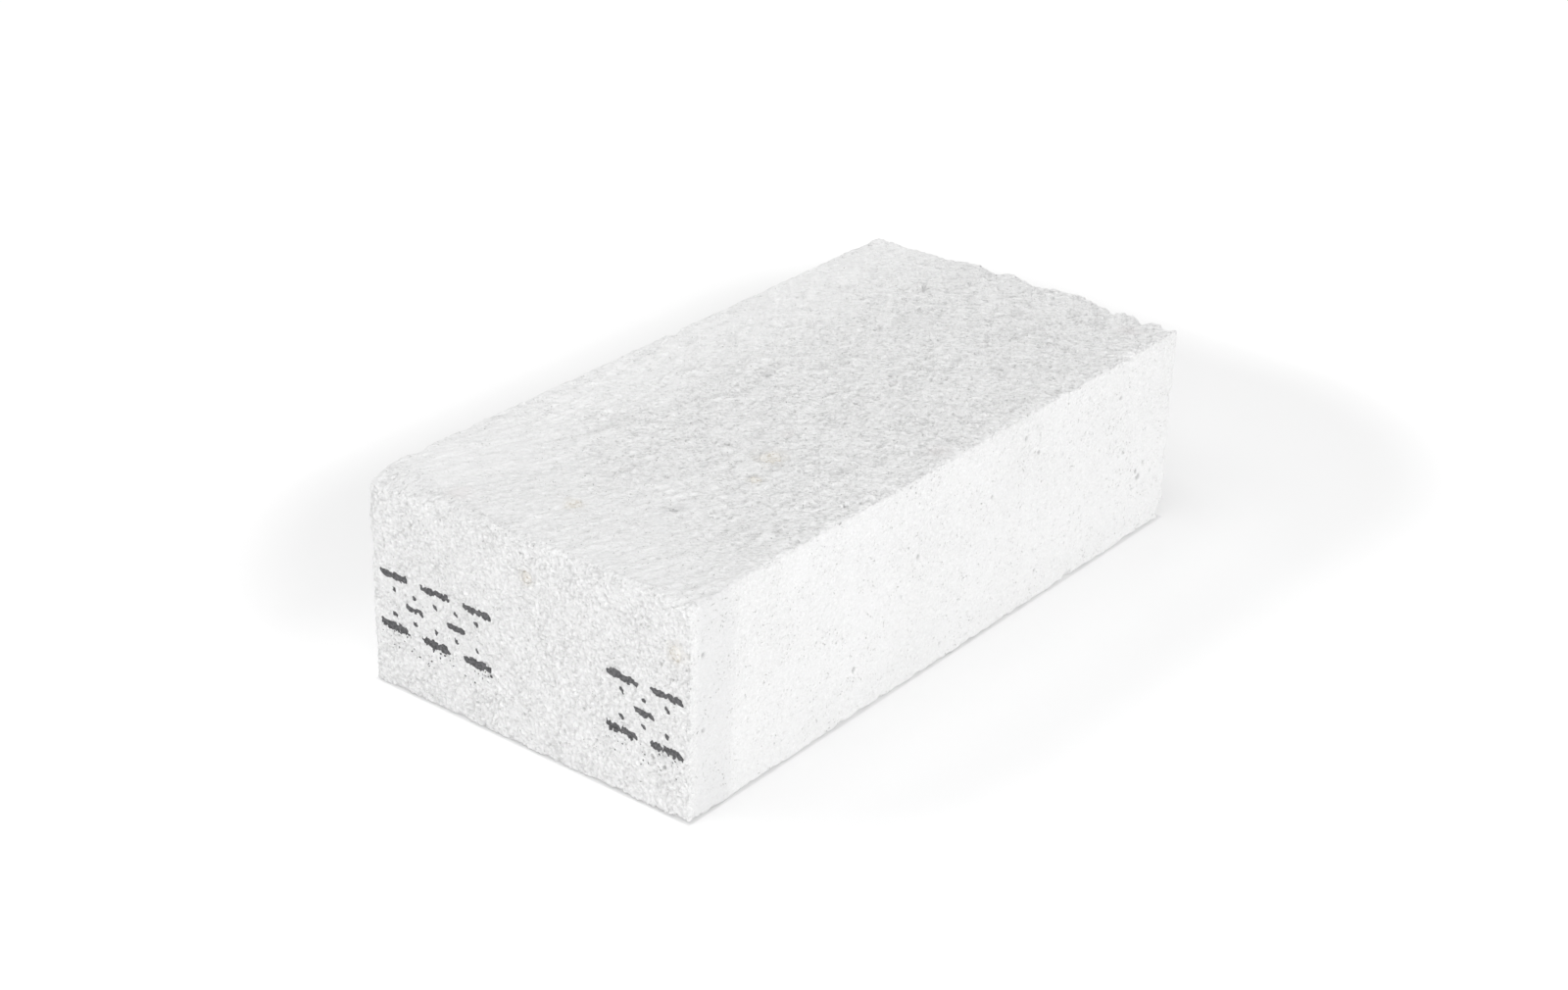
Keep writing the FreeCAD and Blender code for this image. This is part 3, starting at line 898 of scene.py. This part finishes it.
def floor_material():
    """White studio paper on a light table, which glows less where the object stands, as painted shadow, and
    more far out.
    """
    material, tree, shader, place = node_material("studio_paper")
    tone = map_range(tree, noise_node(tree, place, 400.0), 0.3, 0.7)
    paper = mix_colour(tree, tone, (0.70, 0.70, 0.70), (0.71, 0.71, 0.71))
    tree.links.new(paper, shader.inputs["Base Color"])
    foot_middle = (-LIP * MM / 2, 0.0, 0.0)
    foot_half_sides = (LENGTH * MM / 2, HALF_WIDTH * MM, 0.0)
    from_foot = rectangle_gap(tree, place, foot_middle, foot_half_sides)
    # Painted shadow: the glow is lower round the object's foot and in a rectangle about it.
    shadowed_glow = map_range(tree, from_foot, 0.0, 0.05, 0.72, 0.52)
    away = map_range(tree, rectangle_gap(tree, place, SHADOW_MIDDLE, SHADOW_HALF_SIDES), *SHADOW_FADE)
    glow = mix_colour(tree, away, shadowed_glow, (1.0, 1.0, 1.0))
    # Painted contact shadow: the glow falls to grey right at the foot.
    lit = map_range(tree, from_foot, 0.0, CONTACT_SHADE * MM)
    glow = mix_colour(tree, lit, (0.45, 0.45, 0.45), glow)
    tree.links.new(glow, shader.inputs["Emission Color"])
    strength = map_range(tree, vector_math(tree, "LENGTH", place), *GLOW_FADE, *GLOW_STRENGTH)
    tree.links.new(strength, shader.inputs["Emission Strength"])
    shader.inputs["Roughness"].default_value = 1.0
    shader.inputs["Specular IOR Level"].default_value = 0.0
    return material


# ---------------------------------------------------------------- studio
def make_floor():
    bpy.ops.mesh.primitive_plane_add(size=FLOOR_SIZE, location=(0, 0, 0))
    floor = bpy.context.object
    floor.name = "studio_floor"
    floor.data.materials.append(floor_material())


def soft_light(name, azimuth, elevation, watts):
    """A square soft box that faces the object from this direction, in degrees."""
    data = bpy.data.lights.new(name, "AREA")
    data.shape = "SQUARE"
    data.size = LIGHT_SIZE
    data.energy = watts
    lamp = bpy.data.objects.new(name, data)
    tilt = Euler((0.0, -math.radians(elevation), math.radians(azimuth)))
    lamp.location = Vector(LIGHT_AIM) + tilt.to_matrix() @ Vector((LIGHT_DISTANCE, 0.0, 0.0))
    lamp.rotation_euler = (Vector(LIGHT_AIM) - lamp.location).to_track_quat("-Z", "Y").to_euler()
    bpy.context.scene.collection.objects.link(lamp)


def make_studio():
    make_floor()
    for name, azimuth, elevation, watts in SOFT_LIGHTS:
        soft_light(name, azimuth, elevation, watts)
    world = bpy.data.worlds.new("studio")
    world.use_nodes = True
    world.node_tree.nodes["Background"].inputs["Color"].default_value = (1.0, 1.0, 1.0, 1.0)
    world.node_tree.nodes["Background"].inputs["Strength"].default_value = SKY_STRENGTH
    bpy.context.scene.world = world
    bpy.context.scene.view_settings.view_transform = "Standard"


def make_camera():
    data = bpy.data.cameras.new("camera")
    data.sensor_width = SENSOR_WIDTH
    data.lens = CAMERA_LENS
    data.clip_start = 0.01
    camera = bpy.data.objects.new("camera", data)
    camera.location = CAMERA_PLACE
    camera.rotation_euler = Euler([math.radians(angle) for angle in CAMERA_TURN])
    bpy.context.scene.collection.objects.link(camera)
    bpy.context.scene.camera = camera


# ---------------------------------------------------------------- the whole scene
brick_piece = make_brick(refractory_material())
make_spots(tan_material())
ink = ink_material()
make_ink("ink_left", "ink_mark_left", brick_piece, ink, 5)
make_ink("ink_right", "ink_mark_right", brick_piece, ink, 9)
make_studio()
make_camera()
